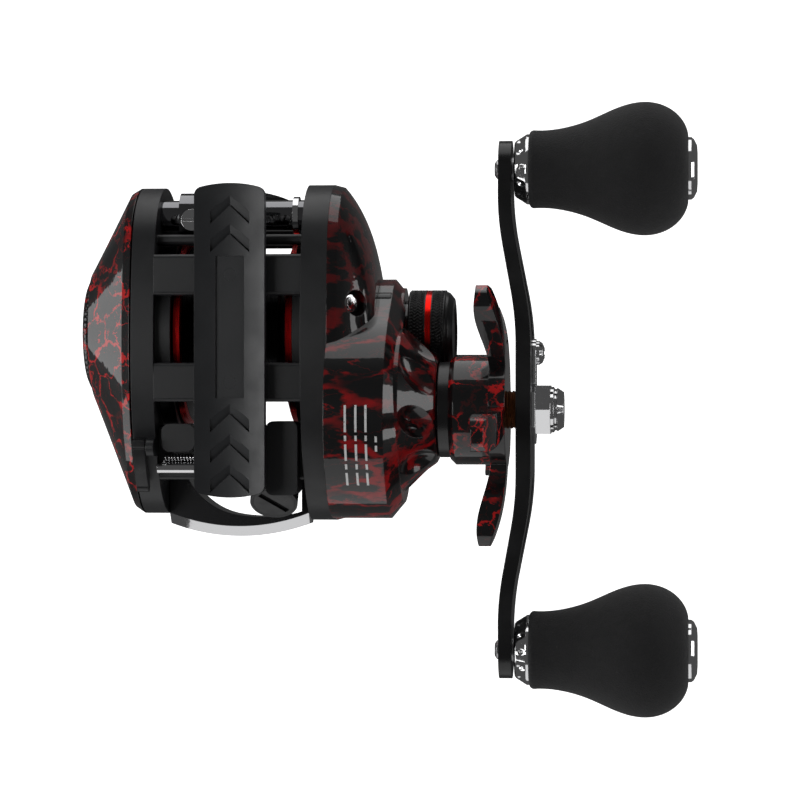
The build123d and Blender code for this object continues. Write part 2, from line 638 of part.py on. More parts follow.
palm_gap = 0.3
palm_x0, palm_rim_x, palm_face_x = left_out - palm_gap, -21.4, -29.4
dial_r, leg_radius = 11.3, 9.0
with BuildPart() as palm_side_cover:
    outer = [
        left_outline(palm_x0),
        plate_outline(palm_rim_x, -29.2, 32.5, 2.9, 43.7, 0.45),
        plate_outline(palm_face_x, -14.3, 12.1, 10.9, 36.7, 0.45),
    ]
    loft(outer, ruled=True)
    cavity = [
        left_outline(palm_x0, 1.6),
        plate_outline(palm_rim_x, -27.3, 30.5, 4.7, 41.8, 0.45),
        plate_outline(palm_face_x + 1.6, -15.0, 12.8, 10.4, 37.4, 0.45),
    ]
    loft(cavity, ruled=True, mode=Mode.SUBTRACT)
    ring(palm_face_x + 1.6, -24.6, 0, 5.4, *spool_c)
    ring(palm_face_x + 1.6, -24.6, 0, 4.0, *spool_c, Mode.SUBTRACT)
    with BuildSketch(facing_x(palm_face_x, spool_c)):
        Circle(leg_radius + 1.1)
        Circle(leg_radius - 1.1, mode=Mode.SUBTRACT)
        with PolarLocations(leg_radius, 3, start_angle=60):
            Rectangle(4, 5.2, mode=Mode.SUBTRACT)
    extrude(amount=1.6, mode=Mode.SUBTRACT)
finish(palm_side_cover, "palm_side_cover")

with BuildPart() as palm_spool_bearing:
    ring(-27.0, -25.0, spool_bore + running_gap, 4.0, *spool_c)
finish(palm_spool_bearing, "palm_spool_bearing")

dial_plane = facing_x(palm_face_x, spool_c)
with BuildPart() as brake_dial:
    dial_profile = [(-29.7, 0), (-29.7, dial_r), (-30.0, dial_r), (-30.5, 10.9), (-30.9, 10.0), (-31.2, 8.4)]
    turn(dial_profile + [(-31.4, 6.0), (-31.4, 4.5), (-31.0, 3.9), (-31.0, 0)], *spool_c)
    for leg_reach in (-1.0, 7.4):
        with BuildSketch(dial_plane):
            with PolarLocations(leg_radius, 3):
                Circle(0.8)
        extrude(amount=leg_reach)
    with BuildSketch(dial_plane.offset(-2.2)):
        with PolarLocations(7.6, 2, start_angle=90):
            Rectangle(4.4, 1.6)
    extrude(amount=1.2)
finish(brake_dial, "brake_dial")

carrier_x0, carrier_x1 = -22.0, -13.0
with BuildPart() as magnet_carrier:
    ring(carrier_x0, carrier_x1, 8.2, 10.6, *spool_c)
    with BuildSketch(facing_x(carrier_x1, spool_c)):
        with PolarLocations(9.4, 10):
            Circle(0.9)
    extrude(amount=-6, mode=Mode.SUBTRACT)
finish(magnet_carrier, "magnet_carrier")

with BuildPart() as brake_magnets:
    with BuildSketch(facing_x(carrier_x1, spool_c)):
        with PolarLocations(9.4, 10):
            Circle(0.9)
    extrude(amount=-6)
finish(brake_magnets, "brake_magnets")

# ---------------------------------------------------------------- handle side cover

base_x, housing_x1, housing_top_x = 26.8, 29.6, 32.1
housing_y, housing_z, housing_r, housing_bevel = 14.2, 14.6, 20.0, 3.0
cap_boss_r, cap_neck_r = 10.6, 6.4
cover_wall, brow_x, housing_wall_x = 1.6, 20.2, 19.6
scallop_count, scallop_r, scallop_half, scallop_lean, scallop_depth = 9, 3.8, 7.0, 34, 1.6


def housing_outline(x, inset=0.0):
    """The raised gear housing: a round drum blended to the smaller boss round the spool axis."""
    with BuildSketch(Plane.YZ.offset(x)) as outline:
        with BuildSketch(mode=Mode.PRIVATE) as drums:
            with Locations((housing_y, housing_z)):
                Circle(housing_r - inset)
            with Locations(spool_c):
                Circle(cap_boss_r - inset)
        make_hull(drums.sketch.edges())
    return outline.sketch


def brow_outlines(wall):
    """Sections of the domed face from the crease at brow_x out to base_x, moved inward by wall."""
    sections = []
    for x, front, rear, bottom, top in (
        (brow_x, -30.0, 34.3, 0.5, 44.3),
        (22.6, -26.6, 33.6, 1.8, 43.4),
        (24.8, -21.8, 32.3, 3.6, 41.6),
        (base_x, -13.0, 30.5, 6.2, 38.6),
    ):
        section_x = x - wall * (x - brow_x) / (base_x - brow_x)
        sections.append(plate_outline(section_x, front + wall, rear - wall, bottom + wall, top - wall, 0.55))
    return sections


def scallop_plane(turned, height):
    """A plane along one scallop; turned is its place round the boss, height its axis above the cone."""
    cone_x, cone_r = 35.4, 13.1
    way = Vector(0, cos(radians(turned)), sin(radians(turned)))
    tangent = Vector(0, -sin(radians(turned)), cos(radians(turned)))
    slope = (Vector(6.4, 0, 0) - way * 5.7).normalized()
    normal = (Vector(5.7, 0, 0) + way * 6.4).normalized()
    run = slope * cos(radians(scallop_lean)) + tangent * sin(radians(scallop_lean))
    centre = Vector(cone_x, *handle_c) + way * cone_r - normal * height
    return Plane(origin=centre, x_dir=run, z_dir=run.cross(normal))


screw_r, post_depth, post_rim = 0.8, 3.2, 0.9
screw_seats = (
    Plane(origin=(22.1, -7.1, 4.9), x_dir=(0, 1, 0), z_dir=(0.75, 0, -0.66)),
    Plane(origin=(21.9, -20.0, 30.5), x_dir=(0, 1, 0), z_dir=(0.8, -0.5, 0.3)),
    Plane(origin=(21.7, 21.8, 37.8), x_dir=(0, 1, 0), z_dir=(0.75, 0.2, 0.62)),
)

with BuildPart() as handle_side_cover:
    loft([right_outline(right_out), right_outline(brow_x, 0.5)], ruled=True)
    loft(brow_outlines(0.0))
    extrude(housing_outline(right_out), amount=housing_x1 - right_out)
    loft([housing_outline(housing_x1), housing_outline(housing_top_x, housing_bevel)], ruled=True)
    turn([(30, 0), (30, 16.4), (housing_top_x, 15.9), (boss_end_x - 0.3, 10.2), (boss_end_x, 9.6),
          (boss_end_x, 0)], *handle_c)
    # Leaning scallops carved round the boss.
    for hollow in range(scallop_count):
        turned = 360 * hollow / scallop_count
        hollow_plane = scallop_plane(turned, scallop_depth - scallop_r)
        with BuildSketch(hollow_plane):
            with BuildLine():
                ThreePointArc((-scallop_half, 0), (0, scallop_r), (scallop_half, 0))
                Line((scallop_half, 0), (-scallop_half, 0))
            make_face()
        revolve(axis=Axis(hollow_plane.origin, hollow_plane.x_dir), mode=Mode.SUBTRACT)
    ring(30, 31.6, 0, 8.9, *spool_c)
    ring(31, 37.0, 0, cap_neck_r, *spool_c)
    # Room for the cast control cap and for the gear box, then the bores on the two axes.
    ring(31.6, boss_end_x + 1, cap_neck_r, cap_r + 0.4, *spool_c, Mode.SUBTRACT)
    loft([right_outline(right_out, cover_wall), right_outline(brow_x, cover_wall + 0.5)], ruled=True,
         mode=Mode.SUBTRACT)
    loft(brow_outlines(cover_wall), mode=Mode.SUBTRACT)
    ring(housing_wall_x, 28.2, 0, 18.0, housing_y - 0.2, housing_z - 0.2, Mode.SUBTRACT)
    ring(housing_wall_x, 27.8, 0, 17.0, *handle_c, Mode.SUBTRACT)
    ring(right_out, 28.8, 0, 4.2, *spool_c, Mode.SUBTRACT)
    ring(28.8, 30.8, 0, 4.2, *spool_c, Mode.SUBTRACT)
    ring(30.8, 37.0, 0, 2.9, *spool_c, Mode.SUBTRACT)
    ring(28.2, 38.0, 0, 7.4, *handle_c, Mode.SUBTRACT)
    ring(38.0, boss_end_x, 0, 4.9, *handle_c, Mode.SUBTRACT)
    # Posts and seats for the screws that hold the cover.
    for seat in screw_seats:
        with BuildSketch(seat.offset(post_rim)):
            Circle(3.3)
        extrude(amount=-post_depth - post_rim)
    ring(right_out - 4, right_out, 0, 60, *handle_c, Mode.SUBTRACT)
    for seat in screw_seats:
        with BuildSketch(seat):
            Circle(2.5)
        extrude(amount=5, mode=Mode.SUBTRACT)
        with BuildSketch(seat):
            Circle(screw_r)
        extrude(amount=-post_depth, mode=Mode.SUBTRACT)
    # Posts that guide the clutch yoke, hung from the cover.
    for post_y, post_z in posts:
        ring(18.8, 29.4, 0, 0.9, post_y, post_z)
        ring(spring_x1, 29.4, 0, 2.0, post_y, post_z)
finish(handle_side_cover, "handle_side_cover")

with BuildPart() as cover_screws:
    for seat in screw_seats:
        for offset, radius, length in ((0, 1.65, 0.7), (0.7, 1.25, 0.35), (0, screw_r, -2.5)):
            with BuildSketch(seat.offset(offset)):
                Circle(radius)
            extrude(amount=length)
finish(cover_screws, "cover_screws")

with BuildPart() as one_way_bearing:
    ring(30.0, 37.6, 4.5 + running_gap, 7.4, *handle_c)
finish(one_way_bearing, "one_way_bearing")

with BuildPart() as one_way_sleeve:
    ring(27.0, 40.9, shaft_r, 4.5, *handle_c)
finish(one_way_sleeve, "one_way_sleeve")

# ---------------------------------------------------------------- cast control

with BuildPart() as cast_control_cap:
    cap_profile = [(cap_x0, cap_neck_r + running_gap), (cap_x0, cap_r - 0.3), (cap_x0 + 0.3, cap_r)]
    cap_profile += [(35.8, cap_r), (35.8, 7.6), (36.9, 7.6), (36.9, cap_r), (39.6, cap_r)]
    cap_profile += [(cap_x1, 7.0), (cap_x1, 0), (38.6, 0), (38.6, 2.5), (37.6, 2.5)]
    cap_profile += [(37.6, cap_neck_r + running_gap)]
    turn(cap_profile, *spool_c)
finish(cast_control_cap, "cast_control_cap")

with BuildPart() as cast_control_ring:
    ring(35.8, 36.9, 7.6, cap_r - 0.02, *spool_c)
finish(cast_control_ring, "cast_control_ring")

# ---------------------------------------------------------------- star drag

star_lead = -6.9


def star_distance(corner):
    """How far a corner of the star's sketch lies from the shaft."""
    return sqrt(corner.X**2 + corner.Y**2)


with BuildPart() as star_drag:
    with BuildSketch(facing_x(43, handle_c)) as arms:
        Circle(star_hub_r + 0.6)
        with PolarLocations(0, 5, start_angle=star_lead):
            Polygon(
                (6, -3.4), (13, -2.5), (21, -3.3), (24.6, -3.2), (star_tip_r, -1.4),
                (star_tip_r, 1.4), (24.6, 3.2), (21, 3.3), (13, 2.5), (6, 3.4), align=None
            )
        tips = [corner for corner in arms.vertices() if star_distance(corner) > 20]
        fillet(tips, 1.2)
    extrude(amount=10)
    # The arms lie in a shallow dish whose rim leans towards the body.
    with BuildSketch(Plane(origin=(0, *handle_c), x_dir=(1, 0, 0), z_dir=(0, -1, 0))) as dish:
        with BuildLine():
            Line((48.9, 0), (52.1, 0))
            Line((52.1, 0), (52.1, 9.0))
            Spline((52.1, 9.0), (51.9, 14.0), (50.9, 20.5), (48.6, 27.0))
            Line((48.6, 27.0), (46.9, 27.0))
            Spline((46.9, 27.0), (46.6, 21.5), (48.5, 14.0), (48.9, 9.0))
            Line((48.9, 9.0), (48.9, 0))
        make_face()
    revolve(dish.sketch, axis=axle(*handle_c), mode=Mode.INTERSECT)
    turn([(star_x0, 0), (star_x0, 9.6), (star_x0 + 1.0, star_hub_r), (star_x1 + 0.4, star_hub_r),
          (star_x1 + 0.4, 0)], *handle_c)
    ring(star_x0, 47.2, 0, 8.5, *handle_c, Mode.SUBTRACT)
    ring(star_x0, 54, 0, shaft_r + 0.08, *handle_c, Mode.SUBTRACT)
finish(star_drag, "star_drag")

with BuildPart() as drag_spring_washers:
    for washer_x, lean in ((41.0, 0.5), (42.2, -0.5)):
        base_shift, tip_shift = max(0, -lean), max(0, lean)
        turn([(washer_x + base_shift, shaft_r), (washer_x + tip_shift, 7.0),
              (washer_x + tip_shift + 0.5, 7.0), (washer_x + base_shift + 0.5, shaft_r)], *handle_c)
finish(drag_spring_washers, "drag_spring_washers")

with BuildPart() as drag_nut:
    with BuildSketch(facing_x(43.6, handle_c)):
        RegularPolygon(6.4, 6)
        Circle(shaft_r + 0.08, mode=Mode.SUBTRACT)
    extrude(amount=3.6)
finish(drag_nut, "drag_nut")

# ---------------------------------------------------------------- handle

with BuildPart() as handle_arm:
    with BuildSketch(Plane.XY.offset(handle_z - 10)):
        with BuildLine():
            Polyline(
                (arm_end_x0, handle_y - 60), (arm_end_x0, handle_y - 36.5), (arm_x0, handle_y - 17.5),
                (arm_x0, handle_y + 17.5), (arm_end_x0, handle_y + 36.5), (arm_end_x0, handle_y + 60),
                (arm_end_x1, handle_y + 60), (arm_end_x1, handle_y + 37.0), (arm_x1, handle_y + 17.0),
                (arm_x1, handle_y - 17.0), (arm_end_x1, handle_y - 37.0), (arm_end_x1, handle_y - 60),
                close=True,
            )
        make_face()
    extrude(amount=20)
    bends = handle_arm.edges().filter_by(Axis.Z).filter_by(lambda e: abs(e.center().Y - handle_y) < 40)
    fillet(bends, 55.0)
    with BuildSketch(facing_x(48, handle_c)):
        with BuildLine():
            for side in (1, -1):
                ThreePointArc(
                    (side * knob_reach, -5.5), (side * (knob_reach + 5.5), 0), (side * knob_reach, 5.5)
                )
                ThreePointArc((-knob_reach, side * 5.5), (0, side * 8.2), (knob_reach, side * 5.5))
        make_face()
        for side in (1, -1):
            with Locations((side * 21, 0)):
                SlotOverall(16, 5.2, mode=Mode.SUBTRACT)
    extrude(amount=12, mode=Mode.INTERSECT)
    # The keyed hole for the drive shaft and the holes for the knob spindles.
    with BuildSketch(facing_x(48, handle_c)):
        Circle(shaft_r)
        Rectangle(8, 4.8, mode=Mode.INTERSECT)
    extrude(amount=12, mode=Mode.SUBTRACT)
    for side in (1, -1):
        ring(48, 58, 0, 1.8, handle_y + side * knob_reach, handle_z, Mode.SUBTRACT)
finish(handle_arm, "handle_arm")

lock_plate = 0.7
lock_c = (handle_y - 10.9, handle_z)
with BuildPart() as nut_lock_plate:
    with BuildSketch(facing_x(arm_x1, handle_c)):
        RegularPolygon(6.6, 6)
        with Locations((-6.9, 0)):
            Rectangle(8.0, 5.4)
        with Locations((-10.9, 0)):
            Circle(2.7)
            Circle(1.2, mode=Mode.SUBTRACT)
        Circle(shaft_r, mode=Mode.SUBTRACT)
    extrude(amount=lock_plate)
finish(nut_lock_plate, "nut_lock_plate")

with BuildPart() as lock_screw:
    head_x0, head_x1 = arm_x1 + lock_plate, arm_x1 + lock_plate + 1.6
    turn([(head_x0, 0), (head_x0, 2.3), (head_x0 + 0.6, 2.3), (head_x0 + 1.2, 1.9), (head_x1, 1.0),
          (head_x1, 0)], *lock_c)
    ring(arm_x1, head_x0, 0, 1.2, *lock_c)
    with BuildSketch(facing_x(head_x1, lock_c)):
        Rectangle(2.6, 0.6)
        Rectangle(0.6, 2.6)
    extrude(amount=-0.7, mode=Mode.SUBTRACT)
finish(lock_screw, "lock_screw")

with BuildPart() as handle_nut:
    with BuildSketch(facing_x(57.6, handle_c)):
        RegularPolygon(9.3 / 2, 6, major_radius=False, rotation=30)
    extrude(amount=2.8)
    turn([(60.4, 0), (60.4, 4.4), (61.0, 4.4), (61.2, 4.0), (61.5, 4.0), (61.7, 4.2), (62.9, 3.4), (62.9, 0)],
         *handle_c)
    ring(57.6, 62.1, 0, shaft_r, *handle_c, Mode.SUBTRACT)
finish(handle_nut, "handle_nut")

spindle_r, grip_x0, grip_x1 = 2.0, 56.3, 86.7
with BuildPart() as knob_spindles:
    for side in (1, -1):
        knob_y = handle_y + side * knob_reach
        turn([(49.6, 0), (49.6, 1.2), (50.0, 1.8), (53.0, 1.8), (53.0, 2.4), (53.3, 2.4), (53.3, spindle_r),
              (85.0, spindle_r), (85.4, 1.6), (85.4, 0)], knob_y, handle_z)
finish(knob_spindles, "knob_spindles")

for name, side in (("front", -1), ("rear", 1)):
    knob_y = handle_y + side * knob_reach
    with BuildPart() as knob_collar:
        turn([(53.5, spindle_r + running_gap), (53.5, 5.2), (53.8, 5.5), (55.8, 6.75), (grip_x0, 6.75),
              (grip_x0, spindle_r + running_gap)], knob_y, handle_z)
    finish(knob_collar, f"knob_collar_{name}")

    with BuildPart() as knob_grip:
        with BuildSketch(Plane(origin=(0, knob_y, handle_z), x_dir=(1, 0, 0), z_dir=(0, -1, 0))) as section:
            with BuildLine():
                Line((grip_x0, spindle_r + running_gap), (grip_x0, 6.7))
                ThreePointArc((grip_x0, 6.7), (grip_x0 + 0.25, 7.25), (grip_x0 + 0.9, 7.5))
                Spline((grip_x0 + 0.9, 7.5), (63.0, 7.95), (67.6, 9.3), (74.0, 12.0), (79.3, 12.75),
                       (83.5, 11.3), (86.0, 8.6), (grip_x1, 6.5))
                Line((grip_x1, 6.5), (grip_x1, spindle_r + running_gap))
                Line((grip_x1, spindle_r + running_gap), (grip_x0, spindle_r + running_gap))
            make_face()
        revolve(section.sketch, axis=axle(knob_y, handle_z))
    finish(knob_grip, f"knob_grip_{name}")

    with BuildPart() as knob_cap:
        turn([(grip_x1, 0), (grip_x1, 6.0), (87.3, 6.0), (87.8, 5.6), (88.4, 4.4), (88.5, 2.9), (88.2, 2.2),
              (88.2, 0)], knob_y, handle_z)
    finish(knob_cap, f"knob_cap_{name}")
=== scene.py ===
import bpy
import json
from math import cos, exp, floor, pi, radians, sin, sqrt
from mathutils import Matrix, Vector


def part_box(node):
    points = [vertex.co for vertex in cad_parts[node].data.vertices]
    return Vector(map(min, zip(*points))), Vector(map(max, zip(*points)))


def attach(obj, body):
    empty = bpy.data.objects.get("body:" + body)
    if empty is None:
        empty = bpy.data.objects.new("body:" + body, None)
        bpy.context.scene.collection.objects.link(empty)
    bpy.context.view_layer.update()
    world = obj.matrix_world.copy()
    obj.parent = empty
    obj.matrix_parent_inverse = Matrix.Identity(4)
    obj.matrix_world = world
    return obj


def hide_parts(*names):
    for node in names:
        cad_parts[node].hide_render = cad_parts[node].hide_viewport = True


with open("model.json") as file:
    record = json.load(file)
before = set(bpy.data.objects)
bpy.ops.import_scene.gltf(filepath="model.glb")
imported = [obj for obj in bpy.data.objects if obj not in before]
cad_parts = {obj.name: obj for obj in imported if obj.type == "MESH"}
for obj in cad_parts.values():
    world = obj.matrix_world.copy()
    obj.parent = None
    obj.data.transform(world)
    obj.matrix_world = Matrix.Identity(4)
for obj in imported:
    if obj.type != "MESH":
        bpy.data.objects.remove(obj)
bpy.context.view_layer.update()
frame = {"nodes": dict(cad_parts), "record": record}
nodes = frame["nodes"]
mm = 0.001

# ---------------------------------------------------------------- material helpers


class Shader:
    """A new material with its Principled shader and short calls for the nodes that feed it."""

    def __init__(self, name, color, roughness, metallic=0.0, coat=0.0, coat_roughness=0.05):
        self.material = bpy.data.materials.new(name)
        self.material.use_nodes = True
        self.tree = self.material.node_tree
        self.shader = self.tree.nodes["Principled BSDF"]
        self.set("Base Color", (*color, 1))
        self.set("Roughness", roughness)
        self.set("Metallic", metallic)
        self.set("Coat Weight", coat)
        self.set("Coat Roughness", coat_roughness)
        place = self.tree.nodes.new("ShaderNodeTexCoord")
        self.millimetres = self.mapped(place.outputs["Object"], (1 / mm, 1 / mm, 1 / mm))

    def set(self, socket, value):
        self.shader.inputs[socket].default_value = value

    def feed(self, socket, source):
        self.tree.links.new(source, self.shader.inputs[socket])

    def fill(self, socket, value):
        """Link a socket or set its value, widening a colour to four channels."""
        if isinstance(value, bpy.types.NodeSocket):
            self.tree.links.new(value, socket)
        elif socket.type == "RGBA":
            socket.default_value = (*value, 1)
        else:
            socket.default_value = value

    def node(self, kind, inputs=(), **settings):
        made = self.tree.nodes.new(kind)
        for key, value in settings.items():
            setattr(made, key, value)
        for key, value in dict(inputs).items():
            self.fill(made.inputs[key], value)
        return made

    def mapped(self, source, scale, rotation=(0, 0, 0)):
        inputs = {"Vector": source, "Scale": scale, "Rotation": rotation}
        return self.node("ShaderNodeMapping", inputs).outputs[0]

    def noise(self, per_mm, detail=4.0, source=None, roughness=0.55, distortion=0.0):
        settings = {"Scale": per_mm, "Detail": detail, "Roughness": roughness, "Distortion": distortion}
        settings["Vector"] = source or self.millimetres
        return self.node("ShaderNodeTexNoise", settings).outputs["Fac"]

    def edges(self, source, per_mm):
        """Distance to the nearest cell border, for lines between cells."""
        inputs = {"Vector": source, "Scale": per_mm}
        return self.node("ShaderNodeTexVoronoi", inputs, feature="DISTANCE_TO_EDGE").outputs[0]

    def math(self, operation, a, b=0.0, clamp=False):
        return self.node("ShaderNodeMath", {0: a, 1: b}, operation=operation, use_clamp=clamp).outputs[0]

    def vector(self, operation, inputs):
        return self.node("ShaderNodeVectorMath", inputs, operation=operation).outputs[0]

    def ramp(self, source, low, high, start=0.0, end=1.0):
        inputs = {"Value": source, "From Min": low, "From Max": high, "To Min": start, "To Max": end}
        return self.node("ShaderNodeMapRange", inputs, interpolation_type="SMOOTHSTEP").outputs[0]

    def mix(self, factor, a, b):
        return self.node("ShaderNodeMix", {0: factor, 6: a, 7: b}, data_type="RGBA").outputs[2]

    def axis(self, name):
        return self.node("ShaderNodeSeparateXYZ", {"Vector": self.millimetres}).outputs[name]

    def bump(self, height, depth_mm, edge_mm=0.0, coat=False):
        """Relief of depth_mm, over edges rounded to edge_mm."""
        inputs = {"Height": height, "Distance": depth_mm * mm}
        if edge_mm:
            inputs["Normal"] = self.node("ShaderNodeBevel", {"Radius": edge_mm * mm}, samples=4).outputs[0]
        made = self.node("ShaderNodeBump", inputs)
        self.feed("Normal", made.outputs[0])
        if coat:
            self.feed("Coat Normal", made.outputs[0])


# ---------------------------------------------------------------- materials


def matte_metal(name, color, roughness, edge_mm=0.22):
    """Anodised or painted metal with a fine grain, uneven gloss and softly rounded edges."""
    s = Shader(name, color, roughness)
    s.feed("Roughness", s.ramp(s.noise(0.12, 3), 0.3, 0.7, roughness - 0.05, roughness + 0.07))
    dark = tuple(0.8 * c for c in color)
    light = tuple(1.2 * c for c in color)
    s.feed("Base Color", s.mix(s.noise(3.0, 6), dark, light))
    s.bump(s.noise(9.0, 3), 0.005, edge_mm)
    return s.material


def crackle(name, stretch, cells, vein, soft, red_low, red_high, coverage, front=1.0):
    """Glossy black lacquer over a branching network of red veins.

    cells is cells per millimetre, vein the line's half width as a share of a cell, soft the width of
    its edge, and coverage from 0 to 1 how much of the network shows. front is the share of it that is
    left towards the front of the reel.
    """
    black = (0.0025, 0.0025, 0.003)
    bend_mm, twig_cells, fade_y0, fade_y1 = 6.5, 2.1 * cells, -8.0, 6.0
    s = Shader(name, black, 0.4, coat=1.0, coat_roughness=0.02)
    s.set("Specular IOR Level", 0.15)
    flat = s.mapped(s.millimetres, stretch)
    warp = s.node("ShaderNodeTexNoise", {"Vector": flat, "Scale": 0.26, "Detail": 5.0, "Roughness": 0.6})
    shifted = s.vector("SUBTRACT", {0: warp.outputs["Color"], 1: (0.5, 0.5, 0.5)})
    pushed = s.vector("SCALE", {0: shifted, "Scale": bend_mm})
    bent = s.vector("ADD", {0: flat, 1: pushed})
    width = s.ramp(s.noise(0.35, 3, flat), 0.35, 0.72, 0.15 * vein, 1.5 * vein)
    twig_width = s.ramp(s.noise(0.22, 3, flat, distortion=0.6), 0.55, 0.72, 0.0, 0.9 * vein)
    trunk = s.ramp(s.math("SUBTRACT", width, s.edges(bent, cells)), -soft, soft)
    twig = s.ramp(s.math("SUBTRACT", twig_width, s.edges(bent, twig_cells)), -0.5 * soft, soft)
    veins = s.math("MAXIMUM", trunk, twig)
    reach = s.ramp(s.noise(0.1, 3, flat), 0.56 - 0.25 * coverage, 0.68 - 0.25 * coverage, 0.06, 1.0)
    shown = s.math("MULTIPLY", veins, reach, clamp=True)
    if front < 1.0:
        shown = s.math("MULTIPLY", shown, s.ramp(s.axis("Y"), fade_y0, fade_y1, front, 1.0))
    s.feed("Base Color", s.mix(shown, black, s.mix(s.noise(0.7, 4), red_low, red_high)))
    s.bump(s.noise(0.45, 2), 0.015, 0.25, coat=True)
    return s.material


def polished(name, color, roughness=0.05, wear=0.05):
    """Bright plated metal with faint smears and rounded edges."""
    s = Shader(name, color, roughness, metallic=1.0)
    s.feed("Roughness", s.ramp(s.noise(0.8, 5), 0.35, 0.75, roughness, roughness + wear))
    s.bump(s.noise(0.5, 2), 0.01, 0.12)
    return s.material


def turned_metal(name, color, roughness=0.28):
    """Machined metal whose fine lathe lines run round the X axis."""
    s = Shader(name, color, roughness, metallic=1.0)
    lines = s.noise(1.0, 3, s.mapped(s.millimetres, (14, 0.2, 0.2)))
    s.feed("Roughness", s.ramp(lines, 0.3, 0.7, roughness - 0.08, roughness + 0.1))
    s.bump(lines, 0.004, 0.1)
    return s.material


def foam(name):
    """EVA foam: matt black with a fine closed-cell grain and a few pale specks."""
    s = Shader(name, (0.016, 0.016, 0.017), 0.85)
    s.set("Specular IOR Level", 0.35)
    s.set("Sheen Weight", 0.04)
    s.set("Sheen Roughness", 0.6)
    specks = s.ramp(s.noise(2.6, 5, roughness=0.75), 0.63, 0.72)
    mottled = s.mix(s.noise(0.35, 4), (0.012, 0.012, 0.0125), (0.02, 0.02, 0.021))
    s.feed("Base Color", s.mix(specks, mottled, (0.06, 0.058, 0.056)))
    cells = s.node("ShaderNodeTexVoronoi", {"Vector": s.millimetres, "Scale": 4.0}).outputs["Distance"]
    s.bump(s.math("ADD", cells, s.noise(1.8, 5)), 0.07)
    return s.material


def moulded(name, color=(0.008, 0.008, 0.009), roughness=0.32):
    """Moulded black plastic."""
    s = Shader(name, color, roughness)
    s.feed("Roughness", s.ramp(s.noise(0.5, 4), 0.3, 0.7, roughness - 0.05, roughness + 0.1))
    s.bump(s.noise(5.0, 3), 0.006, 0.2)
    return s.material


def spool_finish(name):
    """Black anodised spool whose two outer rims are red."""
    s = Shader(name, (0.01, 0.01, 0.011), 0.25, metallic=0.9)
    low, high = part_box("spool")
    centre_y, centre_z = (low[1] + high[1]) / 2 / mm, (low[2] + high[2]) / 2 / mm
    rim_width, rim_depth, right_hub = 1.5, 1.2, 0.4
    x = s.axis("X")
    near_left = s.math("LESS_THAN", x, low[0] / mm + rim_width)
    near_right = s.math("GREATER_THAN", x, high[0] / mm - right_hub - rim_width)
    from_y = s.math("POWER", s.math("SUBTRACT", s.axis("Y"), centre_y), 2.0)
    from_z = s.math("POWER", s.math("SUBTRACT", s.axis("Z"), centre_z), 2.0)
    radius = (high[2] - low[2]) / 2 / mm - rim_depth
    outer = s.math("GREATER_THAN", s.math("ADD", from_y, from_z), radius**2)
    red = s.math("MULTIPLY", s.math("MAXIMUM", near_left, near_right), outer)
    s.feed("Base Color", s.mix(red, (0.012, 0.012, 0.013), (0.5, 0.006, 0.006)))
    lines = s.noise(1.0, 3, s.mapped(s.millimetres, (12, 0.2, 0.2)))
    s.feed("Roughness", s.ramp(lines, 0.3, 0.7, 0.2, 0.35))
    return s.material


def chrome_rim(name):
    """The thumb bar's black plastic with a chrome strip along its outer arc.

    bow is the arc's rise over its chord, strip is the chrome's width, and end_x is the arc's right end.
    """
    black = (0.008, 0.008, 0.009)
    s = Shader(name, black, 0.2)
    low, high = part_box("thumb_bar")
    bow, strip, end_x = 2.5, 2.0, 12.6
    x0, crest_y = low[0] / mm, high[1] / mm
    half = (end_x - x0) / 2
    arc_r = (half**2 + bow**2) / (2 * bow)
    from_x = s.math("POWER", s.math("SUBTRACT", s.axis("X"), x0 + half), 2.0)
    from_y = s.math("POWER", s.math("SUBTRACT", s.axis("Y"), crest_y - arc_r), 2.0)
    rim = s.math("GREATER_THAN", s.math("ADD", from_x, from_y), (arc_r - strip) ** 2)
    s.feed("Base Color", s.mix(rim, black, (0.7, 0.7, 0.71)))
    s.feed("Metallic", rim)
    s.feed("Roughness", s.ramp(rim, 0.0, 1.0, 0.22, 0.06))
    s.bump(s.noise(0.5, 2), 0.01, 0.15)
    return s.material


def bronze(name):
    """Brown bronze with darker patches in its thread."""
    s = Shader(name, (0.3, 0.12, 0.045), 0.42, metallic=0.55)
    s.feed("Base Color", s.mix(s.noise(1.2, 4), (0.26, 0.09, 0.03), (0.62, 0.26, 0.1)))
    s.bump(s.noise(2.0, 3), 0.01, 0.08)
    return s.material


def woven(name):
    """Carbon-fibre friction disc in a fine check."""
    s = Shader(name, (0.03, 0.03, 0.03), 0.35, coat=0.4)
    turned = s.mapped(s.millimetres, (1, 1, 1), (radians(45), 0, 0))
    inputs = {"Vector": turned, "Color1": (0.05, 0.05, 0.052), "Color2": (0.012, 0.012, 0.013), "Scale": 0.9}
    s.feed("Base Color", s.node("ShaderNodeTexChecker", inputs).outputs["Color"])
    s.bump(s.noise(2.5, 3), 0.02)
    return s.material


def ink(name):
    """White pad-printed ink, slightly worn."""
    s = Shader(name, (0.75, 0.75, 0.75), 0.5)
    s.feed("Base Color", s.mix(s.ramp(s.noise(1.5, 4), 0.55, 0.7), (0.78, 0.78, 0.78), (0.4, 0.4, 0.4)))
    return s.material


